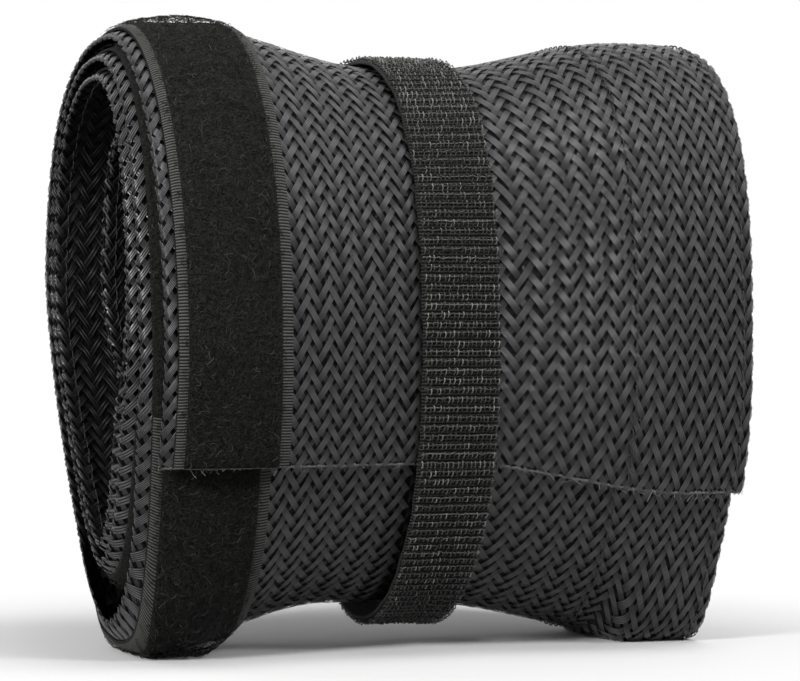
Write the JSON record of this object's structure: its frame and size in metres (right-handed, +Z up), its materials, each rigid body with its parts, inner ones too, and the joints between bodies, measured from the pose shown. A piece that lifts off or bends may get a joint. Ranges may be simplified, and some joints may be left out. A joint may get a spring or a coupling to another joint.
{
  "type": "hook and loop cable sleeve",
  "caption": "Black braided cable sleeve with loop tape on one edge and hook tape on the other, rolled up and held round the middle by a hook strap.",
  "frame": {"origin": "on the ground under the middle of the rolled sleeve's bounding box", "axes": "+X along the roll's axis from the loop tape end to the hook tape end, -Y towards the free outer end at the front, +Z up"},
  "size_m": [0.1398, 0.1128, 0.142],
  "materials": {
    "braid": "black polyester monofilament braid, slight sheen",
    "loop_pile": "black napped nylon loop pile, matt",
    "hook_tape": "black woven nylon hook tape, matt",
    "hook_strap": "black woven nylon hook strap, matt with small glints"
  },
  "bodies": {
    "root": {"braided_sleeve": "braid", "loop_tape": "loop_pile", "hook_tape": "hook_tape", "tie_strap": "hook_strap"}
  },
  "joints": []
}
